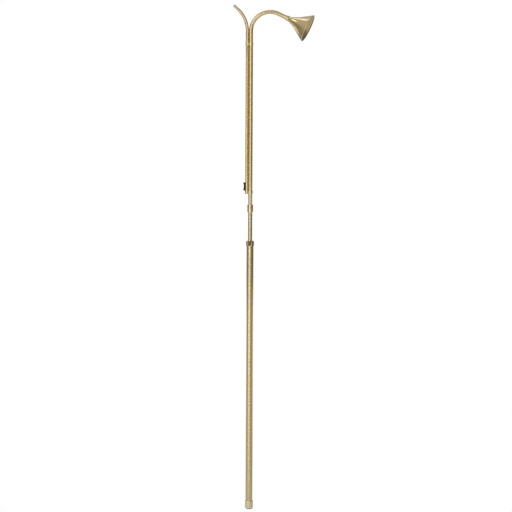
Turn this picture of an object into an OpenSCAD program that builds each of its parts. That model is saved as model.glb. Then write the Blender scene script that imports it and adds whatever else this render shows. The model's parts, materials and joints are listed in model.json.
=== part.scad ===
// Telescoping altar-candle lighter: a wick tube with a thumb slide, and a bell snuffer on an arched tube.
// The origin is the centre of the foot. +Z runs up the handle, and +X points to the snuffer bell.

/* [Handle] */
// Outside diameter of the handle tube
handle_od = 15.875; // [15.6:0.025:16.2]
// Wall of the handle tube
handle_wall = 1.0; // [0.8:0.05:1.2]
// Length of the handle tube
handle_len = 596.8; // [570:0.1:700]

/* [End cap and foot] */
// Diameter of the brass end cap
cap_od = 18.4; // [17.8:0.1:20]
// Height of the end cap
cap_h = 16.3; // [14:0.1:20]
// Thickness of the end cap's floor, under the handle tube
cap_floor = 5.0; // [4.8:0.1:6]
// Diameter of the foot pad
pad_d = 14.0; // [10:0.1:15]
// Height that the foot pad stands proud of the cap
pad_proud = 2.0; // [1:0.1:2.5]

/* [Lock nut] */
// Width of the hexagonal lock nut across its flats
nut_af = 15.875; // [15.6:0.025:17]
// Height of the lock nut
nut_h = 12.4; // [11.5:0.1:14]
// Clocking of the nut's front flat, clockwise from above
nut_clock = 0; // [0:1:30]
// Diameter of the threaded spigot that the nut turns on
thread_d = 13.5; // [13.3:0.05:13.6]

/* [Telescope rod] */
// Outside diameter of the rod, and of the snuffer tube that carries on from it
rod_od = 9.525; // [9.4:0.025:9.6]
// Wall of the rod
rod_wall = 0.9; // [0.7:0.05:1.1]
// Length of rod that shows between the nut and the coupling
rod_shown = 63.0; // [62.6:0.1:80]
// Length of rod hidden in the handle
rod_hidden = 518.8; // [480:0.1:520]

/* [Coupling] */
// Diameter of the ferrule that joins the head to the rod
ferrule_od = 13.2; // [12:0.1:15]
// Length of the ferrule's thick part
ferrule_len = 17.5; // [14:0.1:24]
// Diameter of the shoulder under the ferrule
shoulder_od = 11.0; // [10.4:0.1:11.8]
// Length of that shoulder
shoulder_len = 2.5; // [1.5:0.1:4]

/* [Head tubes] */
// Wall of the snuffer tube
head_wall = 0.8; // [0.7:0.05:1]
// Outside diameter of the wick tube
wick_od = 7.14; // [7:0.02:7.4]
// Wall of the wick tube
wick_wall = 0.45; // [0.4:0.01:0.5]
// Gap between the ferrule and the lower bracket
bracket_gap = 24.6; // [15:0.1:40]
// Height of the lower bracket
bracket_h = 7.6; // [7:0.1:9]
// Gap between the lower bracket and the upper clip
clip_gap = 333.3; // [333:0.1:400]
// Height of the upper clip
clip_h = 7.6; // [6:0.1:10]
// Thickness of the bands that hold the two tubes together
band_t = 0.65; // [0.5:0.05:1]
// Straight tube between the upper clip and the bends
bend_gap = 25.8; // [15:0.1:40]

/* [Snuffer arch] */
// Bend radius of the snuffer tube, on its centre line
arch_r = 43.4; // [40:0.1:60]
// Angle that the snuffer tube turns through
arch_angle = 117; // [100:1:130]
// Straight tube between the bend and the bell's collar
arch_run = 20.6; // [12:0.1:30]

/* [Wick nozzle] */
// Bend radius of the nozzle, on its centre line
nozzle_r = 69; // [50:1:90]
// Angle that the nozzle turns through
nozzle_angle = 45; // [30:1:60]
// Straight part of the nozzle past the bend
nozzle_run = 16; // [15:0.5:30]
// Outside diameter of the nozzle's mouth
nozzle_tip_od = 6.2; // [6:0.1:6.6]

/* [Snuffer bell] */
// Diameter of the bell's mouth, over its rolled rim
bell_d = 65.5; // [56:0.5:76]
// Wall of the bell
bell_wall = 0.8; // [0.6:0.05:1]
// Diameter of the bell's neck
bell_neck_d = 11.4; // [11:0.1:12]
// Half angle of the bell at its neck
neck_angle = 16; // [12:1:20]
// Half angle of the bell at its mouth
mouth_angle = 31.9; // [30:0.1:38]
// Radius of the curve between those two angles
flare_r = 98; // [80:0.1:110]
// Radius of the rolled rim
bead_r = 0.9; // [0.7:0.05:1.2]
// Diameter of the collar between the tube and the bell
collar_od = 12.4; // [12:0.1:14]
// Length of that collar
collar_len = 6.4; // [6:0.1:9]

/* [Thumb slide] */
// Height of the thumb slide
knob_h = 18.5; // [17:0.1:20]
// Width of the thumb slide, front to back
knob_w = 8.4; // [7.6:0.1:11]
// Distance that the thumb slide's lips stand off the wick tube
knob_proud = 4.3; // [4:0.1:6]
// Depth of the hollow in the thumb slide's face
knob_waist = 1.45; // [0.8:0.05:1.6]
// Width of the slot in the wick tube
slot_w = 2.4; // [2.2:0.05:2.6]
// Travel of the thumb slide
feed_travel = 305; // [150:1:306]

/* [Hidden] */
$fn = 96;
eps = 0.01;

// Gap around a soldered or pressed joint, and around a piece that slides or turns
joint_gap = 0.02;
run_gap = 0.05;
// Play in a screw's hole, and round a rod that passes through without touching
hole_play = 0.2;
rod_play = 0.15;
// Chamfer on the edges of a turned piece that is out of sight
edge = 0.5;

handle_r = handle_od / 2;
handle_ri = handle_r - handle_wall;
rod_r = rod_od / 2;
rod_ri = rod_r - rod_wall;
stem_ri = rod_r - head_wall;
wick_r = wick_od / 2;
wick_ri = wick_r - wick_wall;

// Heights, from the foot up
pad_recess = 1.2;
pad_edge = 0.6;
cap_edge = 0.8;
tube_z = pad_proud + cap_floor;
nut_z = tube_z + handle_len;
nut_top = nut_z + nut_h;
shoulder_z = nut_top + rod_shown;
ferrule_z = shoulder_z + shoulder_len;
ferrule_top = ferrule_z + ferrule_len;
bracket_z = ferrule_top + bracket_gap;
bracket_top = bracket_z + bracket_h;
clip_z = bracket_top + clip_gap;
clip_mid = clip_z + clip_h / 2;
bend_z = clip_z + clip_h + bend_gap;

// Where a bend meets a straight: the step in radius, and the lap in degrees
bend_step = 0.02;
bend_lap = 0.5;

// The wick tube lies against the snuffer tube, on the side away from the bell
wick_x = -(rod_r + wick_r + joint_gap);

// End cap screw
screw_r = 2.0;
screw_head_r = 3.4;
screw_head_h = 1.9;
screw_seat_z = pad_proud + pad_recess + screw_head_h + hole_play;
screw_len = 12;
screw_slot = 0.9;
plug_len = 14;
plug_end = 2;

// Gland: the threaded fitting in the handle's top end, the collet in its cone and the ring above it
gland_insert = 20;
spigot_h = 8.2;
gland_top = nut_z + spigot_h;
seat_depth = 5.2;
seat_r_low = 5.5;
seat_r_high = 6.25;
collet_slit = 1.0;
collet_proud = 0.6;
collet_drop = 0.1;
nut_flange = 2.8;
ring_t = nut_h - nut_flange - spigot_h - collet_proud - 2 * joint_gap;
nut_chamfer = 0.7;
nut_edge = 0.4;

// Pieces on the lower end of the rod
rod_z = nut_z - rod_hidden;
end_flange = 3;
end_cover = 2;
bush_h = 15;
stop_h = 3;
stop_r = rod_r + 1.5;

// Coupling
shoulder_edge = 0.4;
ferrule_edge = 0.7;
stud_reach = 22;
rod_end_z = ferrule_z + ferrule_len / 2;

// Plug in the wick tube's lower end, and the slot above it
wick_plug_rim = 1;
wick_plug_len = 7;
slot_margin = 2;
nozzle_taper = 6;

// Thumb slide and the carrier behind it
saddle_depth = 0.7;
knob_z = bracket_top + 0.2;
knob_mid = knob_z + knob_h / 2;
knob_face_x = wick_x - wick_r - knob_proud;
knob_back_x = wick_x - wick_r + saddle_depth;
lip_h = 1.2;
rib_h = 12;
rib_root = 3;
carrier_flat = 2.4;
flat_x = wick_x - carrier_flat;
slide_screw_r = 0.8;
slide_head_r = 1.6;
slide_head_t = 0.9;
slide_head_sunk = 0.35;
slide_head_x = knob_face_x + knob_waist + slide_head_sunk;
slide_slot_w = 0.5;
slide_slot_t = 0.4;
carrier_rise = 1.8;
carrier_z = knob_z + carrier_rise;
carrier_len = 34;
socket_r = 2.45;
socket_depth = 14;
leaf_w = 2.0;
leaf_t = 0.25;
leaf_rise = 0.6;
leaf_half = 7.5;
leaf_play = 0.1;
leaf_z = knob_mid + 1.5;
leaf_x = wick_x + sqrt(wick_ri * wick_ri - leaf_w * leaf_w / 4) - joint_gap;

// Bell
collar_floor = 1.4;
bell_t = arch_run + collar_len;
collar_edge = 0.6;
bell_floor = 1.0;
bell_plug_len = 12;
bell_screw_r = 1.5;
bell_screw_len = 10;
bell_head_r = 3.2;
bell_head_h = 2;
bell_slot = [2 * bell_head_r + 2, 1, 0.8];
bell_hole_r = bell_screw_r + 0.1;
flare_steps = 12;

brass = [0.78, 0.69, 0.46];
dull_brass = [0.64, 0.54, 0.33];
steel = [0.62, 0.63, 0.65];
nylon = [0.88, 0.87, 0.82];
rubber = [0.55, 0.54, 0.51];
black = [0.09, 0.09, 0.09];

// ---- Shared shapes ----

// A ring or a tube, open at both ends
module ring(r_out, r_in, h) {
    difference() {
        cylinder(r = r_out, h = h);
        translate([0, 0, -eps]) cylinder(r = r_in, h = h + 2 * eps);
    }
}

// A cylinder with its end edges chamfered
module turned(r, h, low, high) {
    rotate_extrude()
        polygon([[0, 0], [r - low, 0], [r, low], [r, h - high], [r - high, h], [0, h]]);
}

// A length of solid bar bent about the Y axis: it starts at the origin along +Z and turns towards +X.
// It is a hair thinner than the straight bars at its ends, and laps a little way into them.
module bent_bar(r, bend_r, angle) {
    translate([bend_r, 0, 0]) rotate([90, 0, 0]) rotate([0, 0, 180 - angle - bend_lap])
        rotate_extrude(angle = angle + 2 * bend_lap) translate([bend_r, 0]) circle(r = r - bend_step);
}

// The place where such a bend ends, with +Z along the tube there
module at_bend_end(bend_r, angle) {
    translate([bend_r * (1 - cos(angle)), 0, bend_r * sin(angle)]) rotate([0, angle, 0]) children();
}

module at_arch_end() {
    translate([0, 0, bend_z]) at_bend_end(arch_r, arch_angle) children();
}

// The nozzle bends the other way, so it is drawn towards +X and turned round
module at_nozzle() {
    translate([wick_x, 0, 0]) rotate([0, 0, 180]) children();
}

module at_wick() {
    translate([wick_x, 0, 0]) children();
}

// A band round both tubes, with the groove between them closed
module tube_band(h) {
    web_w = 5.2;
    difference() {
        union() {
            cylinder(r = rod_r + band_t, h = h);
            at_wick() cylinder(r = wick_r + band_t, h = h);
            translate([wick_x, -web_w / 2, 0]) cube([-wick_x, web_w, h]);
        }
        translate([0, 0, -eps]) cylinder(r = rod_r + joint_gap, h = h + 2 * eps);
        at_wick() translate([0, 0, -eps]) cylinder(r = wick_r + joint_gap, h = h + 2 * eps);
    }
}

// ---- Handle ----

module handle_tube() {
    color(brass) translate([0, 0, tube_z]) ring(handle_r, handle_ri, handle_len);
}

module end_plug() {
    color(dull_brass) translate([0, 0, tube_z])
        difference() {
            turned(handle_ri - joint_gap, plug_len, edge, 2 * edge);
            translate([0, 0, -eps]) cylinder(r = screw_r + joint_gap, h = plug_len - plug_end);
        }
}

module cap_screw() {
    slot = [2 * screw_head_r + 1, screw_slot, screw_slot];
    color(steel)
        difference() {
            union() {
                translate([0, 0, screw_seat_z - screw_head_h]) cylinder(r = screw_head_r, h = screw_head_h);
                translate([0, 0, screw_seat_z - eps]) cylinder(r = screw_r, h = screw_len + eps);
            }
            translate([-slot.x / 2, -slot.y / 2, screw_seat_z - screw_head_h - eps]) cube(slot);
        }
}

module end_cap() {
    color(brass)
        difference() {
            translate([0, 0, pad_proud]) turned(cap_od / 2, cap_h, cap_edge, cap_edge);
            translate([0, 0, tube_z]) cylinder(r = handle_r + joint_gap, h = cap_h);
            translate([0, 0, pad_proud - eps]) cylinder(r = pad_d / 2 + joint_gap, h = pad_recess + eps);
            translate([0, 0, pad_proud])
                cylinder(r = screw_head_r + hole_play, h = screw_seat_z - pad_proud);
            translate([0, 0, pad_proud]) cylinder(r = screw_r + hole_play, h = cap_h);
        }
}

module foot_pad() {
    color(rubber) turned(pad_d / 2, pad_proud + pad_recess, pad_edge, 0);
}

// ---- Gland and lock nut ----

module gland_body() {
    color(dull_brass)
        difference() {
            union() {
                translate([0, 0, nut_z - gland_insert])
                    turned(handle_ri - joint_gap, gland_insert, edge, 0);
                translate([0, 0, nut_z - eps]) cylinder(r = thread_d / 2, h = gland_top - nut_z + eps);
            }
            translate([0, 0, nut_z - gland_insert - eps])
                cylinder(r = rod_r + rod_play + 2 * run_gap, h = gland_insert + nut_h);
            translate([0, 0, gland_top - seat_depth])
                cylinder(r1 = seat_r_low, r2 = seat_r_high, h = seat_depth + eps);
        }
}

// Split nylon ring that the nut squeezes on to the rod
module collet() {
    height = seat_depth - collet_drop;
    color(nylon) translate([0, 0, gland_top - height])
        difference() {
            union() {
                cylinder(r1 = seat_r_low - joint_gap, r2 = seat_r_high - 2 * joint_gap, h = height);
                cylinder(r = seat_r_low - joint_gap, h = height + collet_proud);
            }
            translate([0, 0, -eps]) cylinder(r = rod_r + run_gap, h = height + collet_proud + 2 * eps);
            translate([0, -collet_slit / 2, -eps])
                cube([seat_r_high + 1, collet_slit, height + collet_proud + 2 * eps]);
        }
}

module thrust_ring() {
    color(brass) translate([0, 0, gland_top + collet_proud + joint_gap])
        ring(thread_d / 2 - hole_play, rod_r + rod_play, ring_t);
}

module lock_nut() {
    corner_r = nut_af / 2 / cos(30);
    top_r = nut_af / 2 - nut_chamfer;
    chamfer_h = corner_r - top_r;
    color(brass) translate([0, 0, nut_z + joint_gap])
        difference() {
            intersection() {
                rotate([0, 0, -nut_clock]) cylinder(r = corner_r, h = nut_h - joint_gap, $fn = 6);
                turned(corner_r, nut_h - joint_gap, nut_edge, chamfer_h);
            }
            translate([0, 0, -eps]) cylinder(r = thread_d / 2 + run_gap, h = nut_h - nut_flange);
            translate([0, 0, -eps]) cylinder(r = rod_r + rod_play, h = nut_h + 1);
        }
}

// ---- Telescope rod ----

module guide_bush() {
    color(nylon) translate([0, 0, rod_z + end_flange + run_gap])
        ring(handle_ri - run_gap, rod_r + run_gap, bush_h - 2 * run_gap);
}

module telescope_rod() {
    color(brass) translate([0, 0, rod_z]) ring(rod_r, rod_ri, rod_end_z - rod_z);
}

// Plug in the rod's lower end, whose flange carries the guide bush
module rod_end_plug() {
    color(dull_brass)
        union() {
            translate([0, 0, rod_z - joint_gap]) cylinder(r = rod_ri - joint_gap, h = plug_len);
            translate([0, 0, rod_z - end_cover]) ring(stop_r, rod_r + joint_gap, end_cover + end_flange);
            translate([0, 0, rod_z - end_cover]) cylinder(r = stop_r, h = end_cover - joint_gap);
        }
}

// Ring soldered on the rod above the bush: it meets the gland and stops the rod pulling out
module stop_ring() {
    color(dull_brass) translate([0, 0, rod_z + end_flange + bush_h])
        ring(stop_r, rod_r + joint_gap, stop_h);
}

// ---- Coupling ----

module coupling_ferrule() {
    color(brass)
        difference() {
            union() {
                translate([0, 0, shoulder_z]) turned(shoulder_od / 2, shoulder_len + eps, shoulder_edge, 0);
                translate([0, 0, ferrule_z])
                    turned(ferrule_od / 2, ferrule_len, ferrule_edge, ferrule_edge);
            }
            translate([0, 0, shoulder_z - eps])
                cylinder(r = rod_r + joint_gap, h = shoulder_len + ferrule_len + 2 * eps);
        }
}

// Stud across the joint between the rod and the snuffer tube
module coupling_stud() {
    color(dull_brass) translate([0, 0, rod_end_z])
        union() {
            translate([0, 0, -stud_reach]) turned(rod_ri - joint_gap, stud_reach + eps, edge, 0);
            turned(stem_ri - joint_gap, stud_reach, 0, edge);
        }
}

// ---- Head tubes ----

// The snuffer tube's path, filled to radius r and run on by more at both ends
module arch_bar(r, low, high, more) {
    union() {
        translate([0, 0, low - more]) cylinder(r = r, h = bend_z - low + more);
        translate([0, 0, bend_z]) bent_bar(r, arch_r, arch_angle);
        at_arch_end() cylinder(r = r, h = high + more);
    }
}

module snuffer_tube() {
    stem_z = rod_end_z + joint_gap;
    run = bell_t - collar_floor - joint_gap;
    color(brass)
        difference() {
            arch_bar(rod_r, stem_z, run, 0);
            arch_bar(stem_ri, stem_z, run, eps);
        }
}

module lower_bracket() {
    color(brass) translate([0, 0, bracket_z]) tube_band(bracket_h);
}

module upper_clip() {
    color(brass) translate([0, 0, clip_z]) tube_band(clip_h);
}

module wick_tube_plug() {
    color(brass) translate([wick_x, 0, bracket_z])
        union() {
            turned(wick_r, wick_plug_rim, edge / 2, 0);
            cylinder(r = wick_ri - joint_gap, h = wick_plug_len);
        }
}

module wick_tube() {
    low = bracket_z + wick_plug_rim + joint_gap;
    slot_z = bracket_top + slot_margin;
    slot_top = knob_mid + rib_h / 2 + feed_travel + slot_margin;
    color(brass)
        difference() {
            translate([wick_x, 0, low]) ring(wick_r, wick_ri, clip_mid - low);
            translate([wick_x - wick_r - 1, -slot_w / 2, slot_z])
                cube([wick_r, slot_w, slot_top - slot_z]);
        }
}

// The nozzle's path, filled to radius r, down to tip_r at the mouth, and run on by more at both ends
module nozzle_bar(r, tip_r, more) {
    low = clip_mid + joint_gap - more;
    union() {
        translate([0, 0, low]) cylinder(r = r, h = bend_z - low);
        translate([0, 0, bend_z]) bent_bar(r, nozzle_r, nozzle_angle);
        translate([0, 0, bend_z]) at_bend_end(nozzle_r, nozzle_angle)
            rotate_extrude()
                polygon([[0, 0], [r, 0], [tip_r, nozzle_taper],
                         [tip_r, nozzle_run + more], [0, nozzle_run + more]]);
    }
}

module wick_nozzle() {
    tip_r = nozzle_tip_od / 2;
    color(brass) at_nozzle()
        difference() {
            nozzle_bar(wick_r, tip_r, 0);
            nozzle_bar(wick_ri, tip_r - wick_wall, eps);
        }
}

// ---- Snuffer bell ----

// Points of the bell's wall as [radius, distance from the neck], set in from the outside by inset
function bell_curve(inset) = [
    for (i = [0 : flare_steps])
        let (a = neck_angle + (mouth_angle - neck_angle) * i / flare_steps)
            [bell_neck_d / 2 + flare_r * (cos(neck_angle) - cos(a)) - inset * cos(a),
             flare_r * (sin(a) - sin(neck_angle)) + inset * sin(a)]
];

// The last point of the wall, on the straight line that follows the curve
function bell_end(inset) =
    let (curve = bell_curve(inset), last = curve[len(curve) - 1], r = bell_d / 2 - bead_r - inset)
        [r, last.y + (r - last.x) / tan(mouth_angle)];

module snuffer_bell() {
    inside = bell_curve(bell_wall);
    rim = bell_end(bell_wall / 2);
    color(brass) at_arch_end() translate([0, 0, bell_t])
        union() {
            rotate_extrude()
                polygon(concat(
                    [[bell_hole_r, 0]],
                    bell_curve(0),
                    [bell_end(0), bell_end(bell_wall)],
                    [for (i = [flare_steps : -1 : 1]) inside[i]],
                    [[bell_neck_d / 2 - bell_wall, bell_floor], [bell_hole_r, bell_floor]]
                ));
            rotate_extrude() translate(rim) circle(r = bead_r);
        }
}

module bell_collar() {
    color(brass) at_arch_end() translate([0, 0, arch_run])
        difference() {
            turned(collar_od / 2, collar_len - joint_gap, collar_edge, collar_edge / 2);
            translate([0, 0, -eps]) cylinder(r = rod_r + joint_gap, h = collar_len - collar_floor);
            cylinder(r = bell_hole_r, h = collar_len + 1);
        }
}

// Threaded plug soldered in the end of the snuffer tube
module bell_plug() {
    color(dull_brass) at_arch_end() translate([0, 0, bell_t - collar_floor - joint_gap - bell_plug_len])
        ring(stem_ri - joint_gap, bell_screw_r + joint_gap, bell_plug_len);
}

module bell_screw() {
    color(dull_brass) at_arch_end() translate([0, 0, bell_t + bell_floor])
        difference() {
            union() {
                translate([0, 0, joint_gap]) turned(bell_head_r, bell_head_h, 0, edge);
                translate([0, 0, -bell_screw_len]) cylinder(r = bell_screw_r, h = bell_screw_len + 1);
            }
            translate([-bell_slot.x / 2, -bell_slot.y / 2, bell_head_h - bell_slot.z])
                cube(bell_slot + [0, 0, 1]);
        }
}

// ---- Thumb slide ----

module slide_knob() {
    waist_half = knob_h / 2 - lip_h;
    waist_r = (waist_half * waist_half + knob_waist * knob_waist) / (2 * knob_waist);
    color(black)
        difference() {
            union() {
                translate([knob_face_x, -knob_w / 2, knob_z])
                    cube([knob_back_x - knob_face_x, knob_w, knob_h]);
                translate([knob_face_x + rib_root, run_gap - slot_w / 2, knob_mid - rib_h / 2])
                    cube([flat_x - joint_gap - knob_face_x - rib_root, slot_w - 2 * run_gap, rib_h]);
            }
            translate([knob_face_x + knob_waist - waist_r, knob_w / 2 + 1, knob_mid])
                rotate([90, 0, 0]) cylinder(r = waist_r, h = knob_w + 2);
            difference() {
                translate([wick_x, 0, knob_z - 1]) cylinder(r = wick_r + run_gap, h = knob_h + 2);
                translate([wick_x - wick_r - 1, run_gap - slot_w / 2, knob_mid - rib_h / 2])
                    cube([wick_r + 1, slot_w - 2 * run_gap, rib_h]);
            }
            translate([knob_face_x - 1, 0, knob_mid]) rotate([0, 90, 0]) {
                cylinder(r = slide_screw_r + run_gap, h = wick_x - knob_face_x + 1);
                cylinder(r = slide_head_r + 2 * run_gap, h = slide_head_x + slide_head_t - knob_face_x + 1);
            }
        }
}

module slide_screw() {
    color(steel) translate([slide_head_x, 0, knob_mid]) rotate([0, 90, 0])
        difference() {
            union() {
                cylinder(r = slide_head_r, h = slide_head_t - joint_gap);
                cylinder(r = slide_screw_r, h = wick_x - slide_head_x);
            }
            translate([-slide_slot_w / 2, -slide_head_r - 1, -eps])
                cube([slide_slot_w, 2 * slide_head_r + 2, slide_slot_t]);
        }
}

// Shuttle inside the wick tube: the socket in its top end holds the wax taper
module wick_carrier() {
    r = wick_ri - run_gap;
    groove_w = leaf_w + 2 * leaf_play;
    groove_h = 2 * leaf_half + 1;
    color(dull_brass)
        difference() {
            translate([wick_x, 0, carrier_z]) cylinder(r = r, h = carrier_len);
            translate([wick_x - r - 1, -r, knob_mid - rib_h / 2 - hole_play])
                cube([r + 1 - carrier_flat, 2 * r, rib_h + 2 * hole_play]);
            translate([flat_x - 1, 0, knob_mid]) rotate([0, 90, 0])
                cylinder(r = slide_screw_r + joint_gap, h = carrier_flat + 1.5);
            translate([wick_x, 0, carrier_z + carrier_len - socket_depth])
                cylinder(r = socket_r, h = socket_depth + eps);
            translate([leaf_x - leaf_rise - leaf_t - leaf_play, -groove_w / 2, leaf_z - groove_h / 2])
                cube([r, groove_w, groove_h]);
        }
}

// Bowed leaf that presses on the tube's wall, so that the slide stays where it is put
module carrier_spring() {
    bow_r = (leaf_half * leaf_half + leaf_rise * leaf_rise) / (2 * leaf_rise);
    color(steel)
        intersection() {
            translate([leaf_x - bow_r, leaf_w / 2, leaf_z]) rotate([90, 0, 0])
                ring(bow_r, bow_r - leaf_t, leaf_w);
            translate([leaf_x - leaf_rise - leaf_t, -leaf_w, leaf_z - leaf_half])
                cube([leaf_rise + leaf_t + 1, 2 * leaf_w, 2 * leaf_half]);
        }
}

handle_tube();
end_plug();
cap_screw();
end_cap();
foot_pad();
gland_body();
collet();
thrust_ring();
lock_nut();
guide_bush();
telescope_rod();
rod_end_plug();
stop_ring();
coupling_ferrule();
coupling_stud();
snuffer_tube();
lower_bracket();
wick_tube_plug();
wick_tube();
upper_clip();
wick_nozzle();
bell_plug();
bell_collar();
snuffer_bell();
bell_screw();
slide_knob();
slide_screw();
wick_carrier();
carrier_spring();
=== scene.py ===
import json
import math

import bmesh
import bpy
from mathutils import Matrix, Vector


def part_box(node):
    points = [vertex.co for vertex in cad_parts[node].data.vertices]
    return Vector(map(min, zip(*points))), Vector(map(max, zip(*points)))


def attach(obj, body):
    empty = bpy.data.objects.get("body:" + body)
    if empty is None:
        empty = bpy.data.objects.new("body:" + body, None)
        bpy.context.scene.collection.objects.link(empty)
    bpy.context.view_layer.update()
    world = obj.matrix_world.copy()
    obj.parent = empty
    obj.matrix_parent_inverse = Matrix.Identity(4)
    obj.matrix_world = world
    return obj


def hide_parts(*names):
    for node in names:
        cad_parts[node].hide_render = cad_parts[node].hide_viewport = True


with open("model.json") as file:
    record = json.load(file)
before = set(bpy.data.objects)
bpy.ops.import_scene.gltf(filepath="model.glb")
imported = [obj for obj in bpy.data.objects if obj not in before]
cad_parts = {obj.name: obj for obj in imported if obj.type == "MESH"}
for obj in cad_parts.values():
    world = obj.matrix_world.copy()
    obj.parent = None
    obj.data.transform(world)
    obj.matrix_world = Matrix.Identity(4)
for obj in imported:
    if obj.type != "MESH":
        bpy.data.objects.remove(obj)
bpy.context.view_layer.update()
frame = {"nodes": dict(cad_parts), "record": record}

# Lengths below are in metres, like the frame, and angles are in degrees unless a name says otherwise.
MM = 0.001

# Segments round a slim piece, round a thick one and round the bell
ROUND = 96
ROUND_THICK = 128
BELL_ROUND = 160

# How far apart the rings of a straight tube and of a bend may be
STRAIGHT_STEP = 0.1
BEND_STEP = 1.2 * MM

# Clearance in a soldered or pressed joint, and between a hole and its cutter's ends
FIT_GAP = 0.02 * MM
CUT_BEYOND = 1 * MM

# ---- Places and sizes read from the frame ----


def span(node):
    """Centre x, radius in y, lowest z and highest z of an upright round node."""
    low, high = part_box(node)
    return (low.x + high.x) / 2, (high.y - low.y) / 2, low.z, high.z


_, HANDLE_R, HANDLE_Z, HANDLE_TOP = span("handle_tube")
_, ROD_R, ROD_Z, ROD_TOP = span("telescope_rod")
_, CAP_R, CAP_Z, CAP_TOP = span("end_cap")
_, PAD_R, PAD_Z, PAD_TOP = span("foot_pad")
_, FERRULE_R, SHOULDER_Z, FERRULE_TOP = span("coupling_ferrule")
WICK_X, WICK_R, WICK_Z, WICK_TOP = span("wick_tube")
_, _, NUT_Z, NUT_TOP = span("lock_nut")
_, _, BRACKET_Z, BRACKET_TOP = span("lower_bracket")
_, _, CLIP_Z, CLIP_TOP = span("upper_clip")
_, _, STEM_Z, ARCH_TOP = span("snuffer_tube")
_, _, PLUG_Z, _ = span("wick_tube_plug")

HANDLE_WALL = 1.0 * MM
ROD_WALL = 0.9 * MM
STEM_WALL = 0.8 * MM
WICK_WALL = 0.45 * MM
CAP_FLOOR = 5.0 * MM
CAP_HOLE_R = 2.2 * MM
CAP_EDGE = 0.8 * MM
PAD_RECESS = 1.2 * MM
PAD_EDGE = 0.6 * MM
SHOULDER_R = 5.5 * MM
SHOULDER_LEN = 2.5 * MM
FERRULE_EDGE = 0.7 * MM

NUT_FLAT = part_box("lock_nut")[1].x * math.cos(math.radians(30))
NUT_CORNER = NUT_FLAT / math.cos(math.radians(30))
NUT_TOP_R = NUT_FLAT - 0.7 * MM
NUT_EASE = 0.45 * MM
NUT_HOLE_R = ROD_R + 0.15 * MM
NUT_THREAD_R = 6.8 * MM
NUT_FLANGE = 2.8 * MM

# The arch and the nozzle start to bend at the same height
BEND_Z = CLIP_TOP + 25.8 * MM
ARCH_R = ARCH_TOP - ROD_R - BEND_Z
ARCH_ANGLE = 117
ARCH_RUN = 20.6 * MM
NOZZLE_R = 69 * MM
NOZZLE_ANGLE = 45
NOZZLE_RUN = 16 * MM
NOZZLE_TAPER = 6 * MM
NOZZLE_TIP_R = 3.1 * MM
NOZZLE_EDGE = 0.12 * MM
BAND_WEB = 2.6 * MM
BAND_EDGE = 0.2 * MM

COLLAR_R = 6.2 * MM
COLLAR_LEN = 6.4 * MM
COLLAR_FLOOR = 1.4 * MM
BELL_T = ARCH_RUN + COLLAR_LEN
BELL_R = (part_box("snuffer_bell")[1].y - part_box("snuffer_bell")[0].y) / 2
BELL_WALL = 0.8 * MM
BELL_NECK_R = 5.7 * MM
NECK_ANGLE = 16
MOUTH_ANGLE = 31.9
FLARE_R = 98 * MM
BELL_FLOOR = 1.0 * MM
BELL_HOLE_R = 1.6 * MM

# The rolled edge goes 300 degrees round, in 20 steps, and is painted dark from its ninth step on, as
# painted shade on its inner lip
BEAD_R = 0.9 * MM
BEAD_TURN = 300
BEAD_START = 118
BEAD_STEPS = 20
BEAD_SHADE_STEP = 9

KNOB_LOW, KNOB_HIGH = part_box("slide_knob")
KNOB_SUNK = 0.7 * MM
KNOB_WAIST = 1.45 * MM
KNOB_LIP = 1.2 * MM
KNOB_EDGE = 0.9 * MM
KNOB_SADDLE_GAP = 0.05 * MM

SLOT_R = 1.2 * MM
SLOT_ABOVE_BRACKET = 2 * MM
SLOT_BELOW_TOP = 14.65 * MM
WICK_PLUG_RIM = 1 * MM
WICK_PLUG_LEN = 7 * MM


# ---- Shape helpers ----


def filleted(points, radii, steps=5):
    """The closed outline through points, with each corner rounded to its radius."""
    out = []
    count = len(points)
    for i, (point, radius) in enumerate(zip(points, radii)):
        corner = Vector(point)
        if radius == 0:
            out.append(corner)
            continue
        back = (Vector(points[i - 1]) - corner).normalized()
        ahead = (Vector(points[(i + 1) % count]) - corner).normalized()
        half = back.angle(ahead) / 2
        centre = corner + (back + ahead).normalized() * (radius / math.sin(half))
        start = corner + back * (radius / math.tan(half)) - centre
        finish = corner + ahead * (radius / math.tan(half)) - centre
        turn = start.angle_signed(finish)
        for step in range(steps + 1):
            out.append(centre + Matrix.Rotation(-turn * step / steps, 2) @ start)
    return out


def straight(x, z):
    """A path straight up from (x, 0, z)."""
    return lambda s: (Vector((x, 0, z + s)), 0.0)


def bent(x, z, run, bend_r, angle, side):
    """A path up from (x, 0, z) for run, round a bend towards side * X, then straight on."""
    arc = bend_r * math.radians(angle)

    def at(s):
        turned = min(max(s - run, 0), arc) / bend_r
        beyond = max(s - run - arc, 0)
        reach = bend_r * (1 - math.cos(turned)) + beyond * math.sin(turned)
        rise = min(s, run) + bend_r * math.sin(turned) + beyond * math.cos(turned)
        return Vector((x + side * reach, 0, z + rise)), side * turned

    return at


def add_object(name, bm, material, smooth_below=32):
    """Turns bm into an object with smooth shading, apart from edges sharper than smooth_below."""
    bmesh.ops.recalc_face_normals(bm, faces=bm.faces)
    mesh = bpy.data.meshes.new(name)
    bm.to_mesh(mesh)
    bm.free()
    for polygon in mesh.polygons:
        polygon.use_smooth = True
    mesh.set_sharp_from_angle(angle=math.radians(smooth_below))
    obj = bpy.data.objects.new(name, mesh)
    bpy.context.scene.collection.objects.link(obj)
    mesh.materials.append(material)
    return obj


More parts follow.
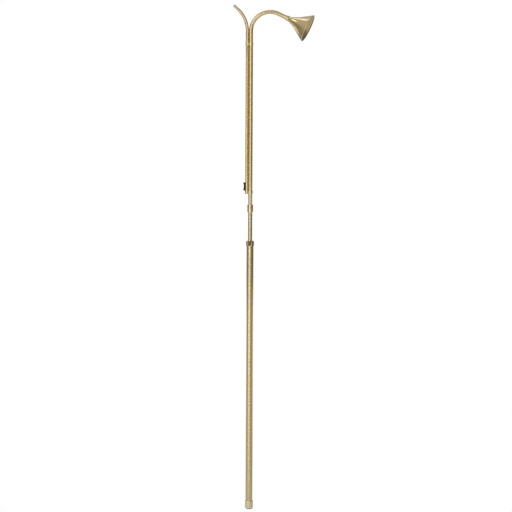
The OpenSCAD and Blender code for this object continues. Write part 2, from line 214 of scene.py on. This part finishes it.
def revolved(name, outline, path, material, segments=ROUND, smooth_below=32):
    """Sweeps the closed outline of (distance along the path, radius) points round the path.
    A point on the axis becomes one vertex. UVs are the metres round and along."""
    bm = bmesh.new()
    uv = bm.loops.layers.uv.new("metres")
    rings = []
    for s, r in outline:
        centre, lean = path(s)
        across = Vector((math.cos(lean), 0, -math.sin(lean)))
        if r < 1e-7:
            rings.append([bm.verts.new(centre)] * segments)
            continue
        ring = []
        for j in range(segments):
            turn = math.tau * j / segments
            way = across * math.cos(turn) + Vector((0, math.sin(turn), 0))
            ring.append(bm.verts.new(centre + r * way))
        rings.append(ring)
    for i in range(len(rings)):
        low, high = rings[i - 1], rings[i]
        s_low, r_low = outline[i - 1]
        s_high, r_high = outline[i]
        for j in range(segments):
            k = (j + 1) % segments
            corners = [(low[j], j, s_low, r_low), (low[k], j + 1, s_low, r_low),
                       (high[k], j + 1, s_high, r_high), (high[j], j, s_high, r_high)]
            seen, unique = set(), []
            for corner in corners:
                if corner[0] not in seen:
                    seen.add(corner[0])
                    unique.append(corner)
            if len(unique) < 3:
                continue
            face = bm.faces.new([corner[0] for corner in unique])
            for loop, (_, step, s, r) in zip(face.loops, unique):
                loop[uv].uv = (math.tau * max(r, MM) * step / segments, s)
    return add_object(name, bm, material, smooth_below)


def along(start, end, gap):
    """Distances from start to end, no more than gap apart."""
    count = max(1, math.ceil((end - start) / gap))
    return [start + (end - start) * i / count for i in range(count + 1)]


def pipe_outline(length, r_out, r_in, stops, edge=0.15 * MM):
    """Outline of an open pipe with eased ends. stops are the distances at which it has a ring."""
    inner = [s for s in stops if 2 * edge < s < length - 2 * edge]
    ease = filleted([(0, r_in), (0, r_out), (length, r_out), (length, r_in)], [edge] * 4, 3)
    quarter = len(ease) // 4
    corners = [ease[i * quarter:(i + 1) * quarter] for i in range(4)]
    return (corners[0] + corners[1] + [Vector((s, r_out)) for s in inner] + corners[2]
            + corners[3] + [Vector((s, r_in)) for s in reversed(inner)])


def slab(name, outline, low, high, edge, place, material, steps=4, smooth_below=40):
    """Extrudes a closed 2D outline from low to high, with rounded rims. place turns (u, v, w) into
    a point."""
    count = len(outline)
    normals = []
    for i in range(count):
        tangent = Vector(outline[(i + 1) % count]) - Vector(outline[i - 1])
        normals.append(Vector((tangent.y, -tangent.x)).normalized())
    levels = []
    for step in range(steps + 1):
        a = math.radians(90) * step / steps
        levels.append((low + edge * (1 - math.sin(a)), edge * (1 - math.cos(a))))
    lower = sorted(levels)
    upper = [(high - (w - low), inset) for w, inset in reversed(lower)]
    heights = [w for w, _ in lower + upper]
    bm = bmesh.new()
    uv = bm.loops.layers.uv.new("metres")
    around_edge = [0.0]
    for i in range(count):
        side = Vector(outline[(i + 1) % count]) - Vector(outline[i])
        around_edge.append(around_edge[-1] + side.length)
    rings = []
    for w, inset in lower + upper:
        ring = [Vector(point) - normal * inset for point, normal in zip(outline, normals)]
        rings.append([bm.verts.new(place(*point, w)) for point in ring])
    for (below, low_w), (above, high_w) in zip(zip(rings, heights), zip(rings[1:], heights[1:])):
        for i in range(count):
            k = (i + 1) % count
            face = bm.faces.new((below[i], below[k], above[k], above[i]))
            corners = ((i, low_w), (i + 1, low_w), (i + 1, high_w), (i, high_w))
            for loop, (step, w) in zip(face.loops, corners):
                loop[uv].uv = (around_edge[step], w)
    for end, places in ((rings[0][::-1], outline[::-1]), (rings[-1], outline)):
        face = bm.faces.new(end)
        for loop, point in zip(face.loops, places):
            loop[uv].uv = point
    return add_object(name, bm, material, smooth_below)


def cut(obj, *cutters, smooth_below=32):
    """Subtracts the cutters from obj for good, and removes them."""
    for cutter in cutters:
        modifier = obj.modifiers.new("cut", "BOOLEAN")
        modifier.operation = "DIFFERENCE"
        modifier.solver = "EXACT"
        modifier.object = cutter
    bpy.context.view_layer.update()
    evaluated = obj.evaluated_get(bpy.context.evaluated_depsgraph_get())
    mesh = bpy.data.meshes.new_from_object(evaluated)
    obj.modifiers.clear()
    obj.data = mesh
    for polygon in mesh.polygons:
        polygon.use_smooth = True
    mesh.set_sharp_from_angle(angle=math.radians(smooth_below))
    for cutter in cutters:
        bpy.data.objects.remove(cutter)


def bar(name, x, r, low, high, material):
    """A plain upright cylinder, for cutting a hole from low to high."""
    low, length = low - CUT_BEYOND, high - low + 2 * CUT_BEYOND
    return revolved(name, [(0, 0), (0, r), (length, r), (length, 0)], straight(x, low), material)


def stands_for(obj, node, body):
    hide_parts(node)
    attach(obj, body)


# ---- Materials ----


class Nodes:
    """Short names for building a material's node tree."""

    def __init__(self, name):
        self.material = bpy.data.materials.new(name)
        self.material.use_nodes = True
        self.tree = self.material.node_tree
        self.shader = self.tree.nodes["Principled BSDF"]

    def add(self, kind, **settings):
        node = self.tree.nodes.new(kind)
        for key, value in settings.items():
            if key in node.inputs:
                node.inputs[key].default_value = value
            else:
                setattr(node, key, value)
        return node

    def link(self, source, output, target, name):
        self.tree.links.new(source.outputs[output], target.inputs[name])

    def mapped(self, coordinate, scale):
        source = self.add("ShaderNodeTexCoord")
        mapping = self.add("ShaderNodeMapping")
        mapping.inputs["Scale"].default_value = scale
        self.link(source, coordinate, mapping, "Vector")
        return mapping

    def noise(self, mapping, scale, detail=3.0, roughness=0.55):
        node = self.add("ShaderNodeTexNoise", Scale=scale, Detail=detail, Roughness=roughness)
        self.link(mapping, "Vector", node, "Vector")
        return node

    def ranged(self, source, output, low, high, from_low=0.3, from_high=0.7):
        node = self.add("ShaderNodeMapRange")
        node.inputs["From Min"].default_value = from_low
        node.inputs["From Max"].default_value = from_high
        node.inputs["To Min"].default_value = low
        node.inputs["To Max"].default_value = high
        self.link(source, output, node, "Value")
        return node

    def mixed(self, factor, output, colour_a, colour_b):
        node = self.add("ShaderNodeMix", data_type="RGBA")
        node.inputs[6].default_value = (*colour_a, 1)
        node.inputs[7].default_value = (*colour_b, 1)
        self.link(factor, output, node, 0)
        return node

    def bump(self, height, output, strength, distance, after=None):
        node = self.add("ShaderNodeBump", Strength=strength, Distance=distance)
        self.link(height, output, node, "Height")
        if after:
            self.link(after, "Normal", node, "Normal")
        return node


LACQUER_ROUGHNESS = 0.10
LACQUER_IOR = 2.3

# Noise features per metre: the tone's slow changes, and the small pits
TONE_SCALE = 22
PIT_SCALE = 900


def brass_material(name, bright, dull, rough, grain, coat=1.0, metallic=1.0):
    """Drawn or turned brass under lacquer. grain is the fine lines per metre: (round, along)."""
    n = Nodes(name)
    large = n.noise(n.mapped("UV", (1, 1, 1)), TONE_SCALE, 2)
    lines = n.noise(n.mapped("UV", (*grain, grain[0])), 1, 2)
    pits = n.noise(n.mapped("UV", (1, 1, 1)), PIT_SCALE, 2)
    tone = n.mixed(large, "Fac", dull, bright)
    n.link(tone, 2, n.shader, "Base Color")
    n.shader.inputs["Metallic"].default_value = metallic
    n.link(n.ranged(lines, "Fac", rough - 0.05, rough + 0.06), "Result", n.shader, "Roughness")
    fine = n.bump(lines, "Fac", 0.06, 0.002 * MM)
    worn = n.bump(pits, "Fac", 0.03, 0.003 * MM, fine)
    n.link(worn, "Normal", n.shader, "Normal")
    n.shader.inputs["Coat Weight"].default_value = coat
    n.shader.inputs["Coat Roughness"].default_value = LACQUER_ROUGHNESS
    n.shader.inputs["Coat IOR"].default_value = LACQUER_IOR
    return n.material


def plain_material(name, light, dark, rough, scale, metallic=0.0, bump=0.15, coat=0.0):
    """A moulded or turned surface with mottled colour and a fine grain."""
    n = Nodes(name)
    mapping = n.mapped("Object", (1, 1, 1))
    mottle = n.noise(mapping, scale * 0.1, 3)
    grain = n.noise(mapping, scale, 4)
    tone = n.mixed(mottle, "Fac", dark, light)
    n.link(tone, 2, n.shader, "Base Color")
    n.link(n.ranged(grain, "Fac", rough - 0.06, rough + 0.06), "Result", n.shader, "Roughness")
    n.link(n.bump(grain, "Fac", bump, 0.03 * MM), "Normal", n.shader, "Normal")
    n.shader.inputs["Metallic"].default_value = metallic
    n.shader.inputs["Coat Weight"].default_value = coat
    return n.material


BRIGHT = (0.76, 0.57, 0.21)
WARM = (0.71, 0.52, 0.18)
DRAWN = (60, 9000)
SPUN = (60, 6000)
FACED = (60, 12000)
MILLED = (400, 400)
tube_brass = brass_material("drawn_brass", BRIGHT, WARM, 0.26, DRAWN)
turned_brass = brass_material("turned_brass", (0.84, 0.65, 0.29), (0.78, 0.60, 0.25), 0.23, DRAWN)
spun_brass = brass_material("spun_brass", BRIGHT, WARM, 0.24, SPUN)
# A darker, duller copy of the spun brass for the bell's inside: painted shade in the hollow.
inside_shade_brass = brass_material(
    "inside_shade_brass", (0.70, 0.52, 0.20), (0.58, 0.43, 0.16), 0.32, SPUN, coat=0.8)
# Dark brass for the inner lip of the bell's rolled edge: painted shade.
rim_shade_brass = brass_material(
    "painted_shade_rim", (0.24, 0.15, 0.04), (0.17, 0.10, 0.03), 0.4, SPUN, coat=0.2)
nut_brass = brass_material("nut_brass", BRIGHT, WARM, 0.14, MILLED, coat=0.6)
cap_brass = brass_material(
    "satin_cap_brass", (1.00, 0.88, 0.58), (0.93, 0.80, 0.50), 0.52, FACED, coat=0.2, metallic=0.5)

TURNED_SCALE = 4000
MOULDED_SCALE = 2500
RUBBER_SCALE = 3000
inner_brass = plain_material(
    "machined_brass", (0.62, 0.50, 0.26), (0.50, 0.39, 0.19), 0.38, TURNED_SCALE, metallic=1.0)
steel = plain_material(
    "screw_steel", (0.62, 0.62, 0.63), (0.50, 0.50, 0.51), 0.30, TURNED_SCALE, metallic=1.0)
nylon = plain_material("nylon", (0.80, 0.79, 0.73), (0.70, 0.69, 0.62), 0.45, MOULDED_SCALE)
rubber = plain_material("foot_rubber", (0.40, 0.39, 0.37), (0.31, 0.30, 0.29), 0.72, RUBBER_SCALE)
black = plain_material(
    "black_plastic", (0.030, 0.030, 0.032), (0.020, 0.020, 0.022), 0.22, MOULDED_SCALE,
    bump=0.04, coat=1.0)

# ---- Handle ----


def make_handle():
    length = HANDLE_TOP - HANDLE_Z
    outline = pipe_outline(length, HANDLE_R, HANDLE_R - HANDLE_WALL, along(0, length, STRAIGHT_STEP))
    tube = revolved("handle_tube_drawn", outline, straight(0, HANDLE_Z), tube_brass, ROUND_THICK)
    stands_for(tube, "handle_tube", "handle")


def make_end_cap():
    height = CAP_TOP - CAP_Z
    points = [(PAD_RECESS, CAP_HOLE_R), (PAD_RECESS, PAD_R), (0, PAD_R), (0, CAP_R), (height, CAP_R),
              (height, HANDLE_R), (CAP_FLOOR, HANDLE_R), (CAP_FLOOR, CAP_HOLE_R)]
    rounds = [0, 0, 0.2 * MM, CAP_EDGE, CAP_EDGE, 0.2 * MM, 0, 0]
    outline = filleted(points, rounds)
    cap = revolved("end_cap_turned", outline, straight(0, CAP_Z), cap_brass, ROUND_THICK)
    stands_for(cap, "end_cap", "handle")


def make_foot_pad():
    height = PAD_TOP - PAD_Z
    points = [(0, 0), (0, PAD_R), (height, PAD_R), (height, 0)]
    outline = filleted(points, [0, PAD_EDGE, 0.1 * MM, 0])
    pad = revolved("foot_pad_moulded", outline, straight(0, PAD_Z), rubber)
    stands_for(pad, "foot_pad", "handle")


def rounded_hexagon(angle, flat, ease):
    """Distance from the centre to the edge of a hexagon with eased corners. A flat faces angle 0."""
    away = (angle + math.pi / 6) % (math.pi / 3) - math.pi / 6
    inner = flat - ease
    if abs(math.tan(away)) * flat <= inner * math.tan(math.pi / 6):
        return flat / math.cos(away)
    corner = inner / math.cos(math.pi / 6)
    off = math.pi / 6 - abs(away)
    return corner * math.cos(off) + math.sqrt(max(0, ease ** 2 - (corner * math.sin(off)) ** 2))


def make_lock_nut():
    """Hexagon with eased corners, a chamfered top and an undercut lower edge."""
    height = NUT_TOP - NUT_Z
    chamfer = NUT_CORNER - NUT_TOP_R
    undercut = 0.4
    outer = [(z * MM, NUT_CORNER - max(0, undercut - z) * MM) for z in (0, 0.15, undercut, 1.0)]
    outer += [(height - chamfer * (1 - i / 10), NUT_CORNER - chamfer * i / 10) for i in range(10)]
    outer += [(height - 0.05 * MM, NUT_TOP_R - 0.02 * MM), (height, NUT_TOP_R - 0.2 * MM)]
    inner = [(height, NUT_HOLE_R + 0.2 * MM), (height - 0.2 * MM, NUT_HOLE_R),
             (height - NUT_FLANGE, NUT_HOLE_R), (height - NUT_FLANGE, NUT_THREAD_R),
             (0.3 * MM, NUT_THREAD_R), (0, NUT_THREAD_R + 0.3 * MM)]
    steps = 180
    bm = bmesh.new()
    uv = bm.loops.layers.uv.new("metres")
    rings = []
    for s, r in outer + inner:
        ring = []
        for j in range(steps):
            turn = math.tau * j / steps
            reach = r
            if r > NUT_TOP_R - 0.3 * MM:
                reach = min(r, rounded_hexagon(turn - math.pi / 2, NUT_FLAT, NUT_EASE))
            ring.append(bm.verts.new((reach * math.cos(turn), reach * math.sin(turn), NUT_Z + s)))
        rings.append(ring)
    for i in range(len(rings)):
        for j in range(steps):
            k = (j + 1) % steps
            face = bm.faces.new((rings[i - 1][j], rings[i - 1][k], rings[i][k], rings[i][j]))
            for loop in face.loops:
                loop[uv].uv = (loop.vert.co.x + loop.vert.co.y, loop.vert.co.z)
    nut = add_object("lock_nut_hexagon", bm, nut_brass, 24)
    stands_for(nut, "lock_nut", "nut")


# ---- Rod and coupling ----


def make_rod():
    length = ROD_TOP - ROD_Z
    outline = pipe_outline(length, ROD_R, ROD_R - ROD_WALL, along(0, length, STRAIGHT_STEP))
    rod = revolved("telescope_rod_drawn", outline, straight(0, ROD_Z), tube_brass)
    stands_for(rod, "telescope_rod", "head")


def make_ferrule():
    height = FERRULE_TOP - SHOULDER_Z
    bore = ROD_R + FIT_GAP
    points = [(0, bore), (0, SHOULDER_R), (SHOULDER_LEN, SHOULDER_R),
              (SHOULDER_LEN, FERRULE_R - FERRULE_EDGE), (SHOULDER_LEN + FERRULE_EDGE, FERRULE_R),
              (height - FERRULE_EDGE, FERRULE_R), (height, FERRULE_R - FERRULE_EDGE), (height, bore)]
    rounds = [0, 0.4 * MM, 0.25 * MM, 0.2 * MM, 0.3 * MM, 0.3 * MM, 0.3 * MM, 0.2 * MM]
    outline = filleted(points, rounds)
    ferrule = revolved("coupling_ferrule_turned", outline, straight(0, SHOULDER_Z), turned_brass,
                       ROUND_THICK)
    stands_for(ferrule, "coupling_ferrule", "head")


# ---- Head ----


def make_snuffer_tube():
    run = BEND_Z - STEM_Z
    arc = ARCH_R * math.radians(ARCH_ANGLE)
    length = run + arc + BELL_T - COLLAR_FLOOR - FIT_GAP
    stops = along(0, run, STRAIGHT_STEP) + along(run, run + arc, BEND_STEP)[1:]
    outline = pipe_outline(length, ROD_R, ROD_R - STEM_WALL, stops)
    path = bent(0, STEM_Z, run, ARCH_R, ARCH_ANGLE, 1)
    tube = revolved("snuffer_tube_bent", outline, path, tube_brass)
    stands_for(tube, "snuffer_tube", "head")


def make_wick_tube():
    length = WICK_TOP - WICK_Z
    stops = along(0, length, STRAIGHT_STEP)
    outline = pipe_outline(length, WICK_R, WICK_R - WICK_WALL, stops, edge=0.08 * MM)
    tube = revolved("wick_tube_slotted", outline, straight(WICK_X, WICK_Z), tube_brass)
    bottom, top = BRACKET_TOP + SLOT_ABOVE_BRACKET + SLOT_R, WICK_TOP - SLOT_BELOW_TOP - SLOT_R
    steps = 16
    slot = []
    for end, turn in ((top, 0), (bottom, math.pi)):
        for i in range(steps + 1):
            a = turn + math.pi * i / steps
            slot.append((SLOT_R * math.cos(a), end + SLOT_R * math.sin(a)))
    start = WICK_X - WICK_R - CUT_BEYOND
    cutter = slab("slot", slot, 0, WICK_R, 0.01 * MM, lambda u, v, w: Vector((start + w, u, v)),
                  tube_brass, 1)
    cut(tube, cutter)
    stands_for(tube, "wick_tube", "head")


def make_wick_plug():
    r_in = WICK_R - WICK_WALL - FIT_GAP
    points = [(0, 0), (0, WICK_R), (WICK_PLUG_RIM, WICK_R), (WICK_PLUG_RIM, r_in),
              (WICK_PLUG_LEN, r_in), (WICK_PLUG_LEN, 0)]
    plug = revolved("wick_tube_plug_turned", filleted(points, [0, 0.3 * MM, 0, 0, 0.3 * MM, 0]),
                    straight(WICK_X, PLUG_Z), turned_brass)
    stands_for(plug, "wick_tube_plug", "head")


def make_nozzle():
    """Meets the wick tube inside the clip, bends, and narrows a little to its square-cut mouth."""
    low = (CLIP_Z + CLIP_TOP) / 2 + FIT_GAP
    run = BEND_Z - low
    arc = NOZZLE_R * math.radians(NOZZLE_ANGLE)
    bend_end = run + arc
    mouth = bend_end + NOZZLE_RUN
    r_in = WICK_R - WICK_WALL
    tip_in = NOZZLE_TIP_R - WICK_WALL

    def taper(start_r, end_r):
        return [(bend_end + NOZZLE_TAPER * t, start_r + (end_r - start_r) * (3 * t * t - 2 * t ** 3))
                for t in (0.2, 0.4, 0.6, 0.8, 1)]

    stops = along(run, bend_end, BEND_STEP)
    edge = NOZZLE_EDGE
    outline = [(0, r_in), (0, WICK_R)] + [(s, WICK_R) for s in stops] + taper(WICK_R, NOZZLE_TIP_R)
    outline += [(mouth - edge, NOZZLE_TIP_R), (mouth - edge * 0.3, NOZZLE_TIP_R - edge * 0.3),
                (mouth, NOZZLE_TIP_R - edge), (mouth, tip_in + edge), (mouth - edge, tip_in)]
    outline += taper(r_in, tip_in)[::-1] + [(s, r_in) for s in reversed(stops)]
    path = bent(WICK_X, low, run, NOZZLE_R, NOZZLE_ANGLE, -1)
    nozzle = revolved("wick_nozzle_bent", outline, path, tube_brass)
    stands_for(nozzle, "wick_nozzle", "head")


def make_band(name, node, low, high):
    """Band round both tubes: two lobes joined by a short web, bored for the tubes."""
    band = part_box(node)[1].x - ROD_R
    rod_out, wick_out = ROD_R + band, WICK_R + band
    rod_turn = math.asin(BAND_WEB / rod_out)
    wick_turn = math.asin(BAND_WEB / wick_out)
    rod_steps, wick_steps = 64, 48
    outline = []
    for i in range(rod_steps + 1):
        a = -(math.pi - rod_turn) + 2 * (math.pi - rod_turn) * i / rod_steps
        outline.append((rod_out * math.cos(a), rod_out * math.sin(a)))
    for i in range(wick_steps + 1):
        a = wick_turn + 2 * (math.pi - wick_turn) * i / wick_steps
        outline.append((WICK_X + wick_out * math.cos(a), wick_out * math.sin(a)))
    piece = slab(name, outline, low, high, BAND_EDGE, lambda u, v, w: Vector((u, v, w)), turned_brass)
    cut(piece, bar("bore_rod", 0, ROD_R + FIT_GAP, low, high, turned_brass),
        bar("bore_wick", WICK_X, WICK_R + FIT_GAP, low, high, turned_brass), smooth_below=40)
    stands_for(piece, node, "head")


# ---- Bell ----


def beyond_arch(start):
    """The path that starts at a distance past the end of the arch's bend."""
    whole = bent(0, BEND_Z, 0, ARCH_R, ARCH_ANGLE, 1)
    arc = ARCH_R * math.radians(ARCH_ANGLE)
    return lambda s: whole(arc + start + s)


def bell_curve(inset):
    """Points (distance from the neck, radius) of the bell's wall, set in from the outside."""
    out = []
    steps = 40
    neck, mouth = math.radians(NECK_ANGLE), math.radians(MOUTH_ANGLE)
    for i in range(steps + 1):
        a = neck + (mouth - neck) * i / steps
        along_axis = FLARE_R * (math.sin(a) - math.sin(neck)) + inset * math.sin(a)
        radius = BELL_NECK_R + FLARE_R * (math.cos(neck) - math.cos(a)) - inset * math.cos(a)
        out.append(Vector((along_axis, radius)))
    return out


def make_bell():
    """Spun cup with a hole for its screw and an edge rolled round a bead. Its inside and the inner part
    of its rolled edge are painted darker, as painted shade.
    """
    mouth = math.radians(MOUTH_ANGLE)
    outer, inner = bell_curve(0), bell_curve(BELL_WALL)
    rim_r = BELL_R - BEAD_R
    middle = bell_curve(BELL_WALL / 2)[-1]
    rim = Vector((middle.x + (rim_r - middle.y) / math.tan(mouth), rim_r))
    bead = []
    for i in range(BEAD_STEPS + 1):
        a = mouth + math.radians(BEAD_START - BEAD_TURN * i / BEAD_STEPS)
        bead.append(rim + BEAD_R * Vector((math.cos(a), math.sin(a))))
    outline = [Vector((0, BELL_HOLE_R))] + outer + bead + inner[:0:-1]
    rim_shade_from, inside_from = len(outer) + BEAD_SHADE_STEP, len(outer) + len(bead)
    outline += [Vector((BELL_FLOOR, BELL_NECK_R - BELL_WALL)), Vector((BELL_FLOOR, BELL_HOLE_R))]
    bell = revolved("snuffer_bell_spun", outline, beyond_arch(BELL_T), spun_brass, BELL_ROUND, 40)
    bell.data.materials.append(inside_shade_brass)
    bell.data.materials.append(rim_shade_brass)
    # Rings past the bead take the darker inside material, and the bead's inner lip takes the dark rim
    # material. Both are painted shade.
    for polygon in bell.data.polygons:
        ring = polygon.index // BELL_ROUND
        if ring > inside_from:
            polygon.material_index = 1
        elif ring > rim_shade_from:
            polygon.material_index = 2
    stands_for(bell, "snuffer_bell", "head")


def make_collar():
    bore = ROD_R + FIT_GAP
    length = COLLAR_LEN - FIT_GAP
    floor = COLLAR_LEN - COLLAR_FLOOR
    points = [(0, bore), (0, COLLAR_R), (length, COLLAR_R), (length, BELL_HOLE_R),
              (floor, BELL_HOLE_R), (floor, bore)]
    outline = filleted(points, [0.1 * MM, 0.6 * MM, 0.3 * MM, 0, 0, 0])
    collar = revolved("bell_collar_turned", outline, beyond_arch(ARCH_RUN), turned_brass)
    stands_for(collar, "bell_collar", "head")


# ---- Thumb slide ----


def make_knob():
    """Thumb piece with a hollow face between two lips, saddled on the tube."""
    face, back = KNOB_LOW.x, WICK_X - WICK_R + KNOB_SUNK
    low, high = KNOB_LOW.z, KNOB_HIGH.z
    middle = (low + high) / 2
    half = (high - low) / 2 - KNOB_LIP
    radius = (half ** 2 + KNOB_WAIST ** 2) / (2 * KNOB_WAIST)
    sweep = math.asin(half / radius)
    centre = face + KNOB_WAIST - radius
    outline = filleted([(face, high), (back, high), (back, low), (face, low)],
                       [0.5 * MM, 0.3 * MM, 0.3 * MM, 0.5 * MM], 4)
    steps = 24
    for i in range(steps + 1):
        a = -sweep + 2 * sweep * i / steps
        outline.append(Vector((centre + radius * math.cos(a), middle + radius * math.sin(a))))
    width = KNOB_HIGH.y
    knob = slab("thumb_slide_moulded", outline[::-1], -width, width, KNOB_EDGE,
                lambda u, v, w: Vector((u, w, v)), black, 5, 30)
    cut(knob, bar("saddle", WICK_X, WICK_R + KNOB_SADDLE_GAP, low, high, black), smooth_below=30)
    stands_for(knob, "slide_knob", "slider")


# ---- Pieces that keep their CAD shape ----

CAD_FINISH = {
    "inner_brass": inner_brass,
    "screw_steel": steel,
    "nylon": nylon,
}


def finish_cad_nodes():
    for entry in frame["record"]["subparts"]:
        node = frame["nodes"][entry["node"]]
        finish = CAD_FINISH.get(entry["material_slot"])
        if finish is None:
            continue
        node.data.materials.clear()
        node.data.materials.append(finish)
        bevel = node.modifiers.new("eased_edges", "BEVEL")
        bevel.width = 0.08 * MM
        bevel.segments = 2
        bevel.limit_method = "ANGLE"
        bevel.angle_limit = math.radians(40)


# ---- Stage, light and camera ----


CAMERA_AZIMUTH = 7.8
CAMERA_DISTANCE = 2.944
CAMERA_HEIGHT = 0.581
CAMERA_ASIDE = 0.0138
CAMERA_ROLL = 0.26
CAMERA_LENS = 90

WHITE = (1, 1, 1, 1)

FLOOR_HALF = 12
FLOOR_COLOUR = (0.85, 0.85, 0.84, 1)
FLOOR_ROUGHNESS = 0.15
FLOOR_IOR = 1.8

# The floor's glow grows from the first strength to the second, between two places along Y
FLOOR_GLOW_PLACES = (0.15, 0.6)
FLOOR_GLOW = (0.3, 3.0)

# The room's brightness, below the first elevation and above the second
ROOM_COLOUR = (0.8, 0.8, 0.8, 1)
ROOM_LEVELS = (0.30, 0.62)
ROOM_ELEVATIONS = (8, 26)

# Darker parts of the room, each a cone: its azimuth and elevation, the half angles outside which it has
# no effect and within which it has its full effect, and what it multiplies the brightness by
DARK_GAP = (-15.6, 0, 16, 6, 0.3)
DARK_WALL = (98, 38, 48, 22, 0.35)

# name, azimuth, distance, height, width, tall, radiance, and the height that it faces
LIGHTS = (
    ("strip_left", -31.5, 4.5, 0.9, 1.40, 3.4, 1.8, 0.9),
    ("strip_front", -1.2, 4.5, 0.9, 1.20, 3.4, 1.8, 0.9),
    ("overhead", -126, 0.45, 2.60, 0.42, 0.95, 1.1, 1.12),
    ("upper_left", -60, 1.47, 2.25, 0.50, 0.50, 1.9, 1.12),
)


def around(azimuth, distance, height):
    """A point round the handle, with azimuth counted from the camera's side, towards the bell."""
    a = math.radians(azimuth + CAMERA_AZIMUTH)
    return Vector((distance * math.sin(a), -distance * math.cos(a), height))


def make_floor():
    """The camera sees plain white. What the metal reflects is a pale, slightly glossy floor that glows
    more towards the back."""
    bm = bmesh.new()
    bmesh.ops.create_grid(bm, x_segments=1, y_segments=1, size=FLOOR_HALF)
    n = Nodes("pale_floor")
    n.shader.inputs["Base Color"].default_value = FLOOR_COLOUR
    n.shader.inputs["Roughness"].default_value = FLOOR_ROUGHNESS
    n.shader.inputs["IOR"].default_value = FLOOR_IOR
    n.shader.inputs["Emission Color"].default_value = WHITE
    place = n.add("ShaderNodeSeparateXYZ")
    n.tree.links.new(n.add("ShaderNodeTexCoord").outputs["Object"], place.inputs[0])
    low, high = FLOOR_GLOW_PLACES
    n.link(n.ranged(place, "Y", low, high, *FLOOR_GLOW), "Result", n.shader, "Emission Strength")
    glow = n.add("ShaderNodeEmission", Strength=1.0)
    seen = n.add("ShaderNodeLightPath")
    mix = n.add("ShaderNodeMixShader")
    n.link(seen, "Is Camera Ray", mix, 0)
    n.tree.links.new(n.shader.outputs[0], mix.inputs[1])
    n.tree.links.new(glow.outputs[0], mix.inputs[2])
    n.tree.links.new(mix.outputs[0], n.tree.nodes["Material Output"].inputs["Surface"])
    floor = add_object("floor", bm, n.material)


def make_world():
    """The camera sees plain white. What the metal reflects is a grey room, lighter above, with a dark
    gap between the two front soft boxes and a dark wall on the bell's side."""
    world = bpy.data.worlds.new("studio")
    bpy.context.scene.world = world
    world.use_nodes = True
    tree = world.node_tree
    tree.nodes.clear()

    def add(kind, **settings):
        node = tree.nodes.new(kind)
        for key, value in settings.items():
            setattr(node, key, value)
        return node

    def ramp(source, low, high, to_low, to_high):
        node = add("ShaderNodeMapRange", interpolation_type="SMOOTHSTEP")
        ends = {"From Min": low, "From Max": high, "To Min": to_low, "To Max": to_high}
        for name, value in ends.items():
            node.inputs[name].default_value = value
        tree.links.new(source, node.inputs["Value"])
        return node.outputs["Result"]

    def darkened(level, azimuth, elevation, outer, inner, factor):
        """level, times factor within the cone."""
        dot = add("ShaderNodeVectorMath", operation="DOT_PRODUCT")
        dot.inputs[1].default_value = around(azimuth, 1, math.tan(math.radians(elevation))).normalized()
        tree.links.new(way, dot.inputs[0])
        part = ramp(dot.outputs["Value"], math.cos(math.radians(outer)), math.cos(math.radians(inner)),
                    1, factor)
        product = add("ShaderNodeMath", operation="MULTIPLY")
        tree.links.new(level, product.inputs[0])
        tree.links.new(part, product.inputs[1])
        return product.outputs[0]

    way = add("ShaderNodeTexCoord").outputs["Generated"]
    parts = add("ShaderNodeSeparateXYZ")
    tree.links.new(way, parts.inputs[0])
    low, high = [math.sin(math.radians(elevation)) for elevation in ROOM_ELEVATIONS]
    level = ramp(parts.outputs["Z"], low, high, *ROOM_LEVELS)
    level = darkened(level, *DARK_GAP)
    level = darkened(level, *DARK_WALL)
    room = add("ShaderNodeBackground")
    room.inputs["Color"].default_value = ROOM_COLOUR
    tree.links.new(level, room.inputs["Strength"])
    white = add("ShaderNodeBackground")
    white.inputs["Color"].default_value = WHITE
    mix = add("ShaderNodeMixShader")
    tree.links.new(add("ShaderNodeLightPath").outputs["Is Camera Ray"], mix.inputs[0])
    tree.links.new(room.outputs[0], mix.inputs[1])
    tree.links.new(white.outputs[0], mix.inputs[2])
    tree.links.new(mix.outputs[0], add("ShaderNodeOutputWorld").inputs["Surface"])


def make_light(name, azimuth, distance, height, width, tall, radiance, aim):
    """A soft box of the given size and brightness, turned to face a point on the handle's axis."""
    data = bpy.data.lights.new(name, "AREA")
    data.shape = "RECTANGLE"
    data.size = width
    data.size_y = tall
    data.energy = radiance * math.pi * width * tall
    light = bpy.data.objects.new(name, data)
    light.location = around(azimuth, distance, height)
    light.rotation_mode = "QUATERNION"
    light.rotation_quaternion = (Vector((0, 0, aim)) - light.location).to_track_quat("-Z", "Y")
    bpy.context.scene.collection.objects.link(light)


def make_camera():
    """Level, a little aside of the handle, and rolled to match how the photo's pole leans."""
    data = bpy.data.cameras.new("camera")
    data.sensor_width = 36
    data.lens = CAMERA_LENS
    camera = bpy.data.objects.new("camera", data)
    a = math.radians(CAMERA_AZIMUTH)
    right = Vector((math.cos(a), math.sin(a), 0))
    camera.location = around(0, CAMERA_DISTANCE, CAMERA_HEIGHT) + right * CAMERA_ASIDE
    camera.rotation_mode = "QUATERNION"
    level = Vector((-math.sin(a), math.cos(a), 0)).to_track_quat("-Z", "Y")
    roll = Matrix.Rotation(math.radians(CAMERA_ROLL), 3, "Z").to_quaternion()
    camera.rotation_quaternion = level @ roll
    bpy.context.scene.collection.objects.link(camera)
    bpy.context.scene.camera = camera


make_camera()
make_world()
make_floor()
for light_settings in LIGHTS:
    make_light(*light_settings)
bpy.context.scene.view_settings.view_transform = "Standard"

make_handle()
make_end_cap()
make_foot_pad()
make_lock_nut()
make_rod()
make_ferrule()
make_snuffer_tube()
make_wick_tube()
make_wick_plug()
make_nozzle()
make_band("lower_bracket_formed", "lower_bracket", BRACKET_Z, BRACKET_TOP)
make_band("upper_clip_formed", "upper_clip", CLIP_Z, CLIP_TOP)
make_bell()
make_collar()
make_knob()
finish_cad_nodes()
